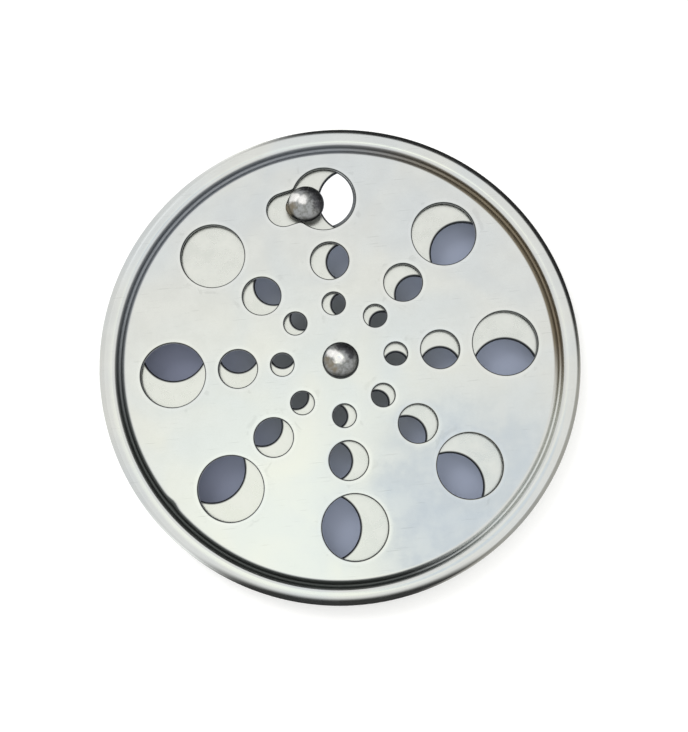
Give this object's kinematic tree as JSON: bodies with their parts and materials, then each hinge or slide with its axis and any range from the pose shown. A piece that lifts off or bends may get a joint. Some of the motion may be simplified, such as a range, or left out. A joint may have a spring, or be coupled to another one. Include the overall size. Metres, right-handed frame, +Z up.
{
  "type": "round floor drain grate",
  "caption": "Round stainless floor drain grate with rings of holes, a raised rim and a rotating shutter below, turned by a knob in a keyhole slot.",
  "frame": {"origin": "on the pivot axis, at the level of the skirt's lower edge", "axes": "+Z up, out of the visible face; +Y from the pivot to the keyhole; +X to the right, seen from above"},
  "size_m": [0.127, 0.127, 0.0106],
  "materials": {
    "cover_steel": "polished stainless sheet with faint scratches",
    "shutter_steel": "satin stainless sheet",
    "rivet_steel": "hammered rivet steel, darker and slightly uneven",
    "washer_steel": "bare spring and washer steel"
  },
  "bodies": {
    "grate": {"cover_plate": "cover_steel", "pivot_rivet": "rivet_steel", "wave_washer": "washer_steel", "backing_washer": "washer_steel"},
    "shutter": {"shutter_disc": "shutter_steel", "knob": "rivet_steel"}
  },
  "joints": [
    {"name": "shutter_turn", "type": "hinge", "parent": "grate", "child": "shutter", "pos_m": [0, 0, 0.0053], "axis": [0, 0, 1], "range_deg": [-13.1, 9.4]}
  ]
}
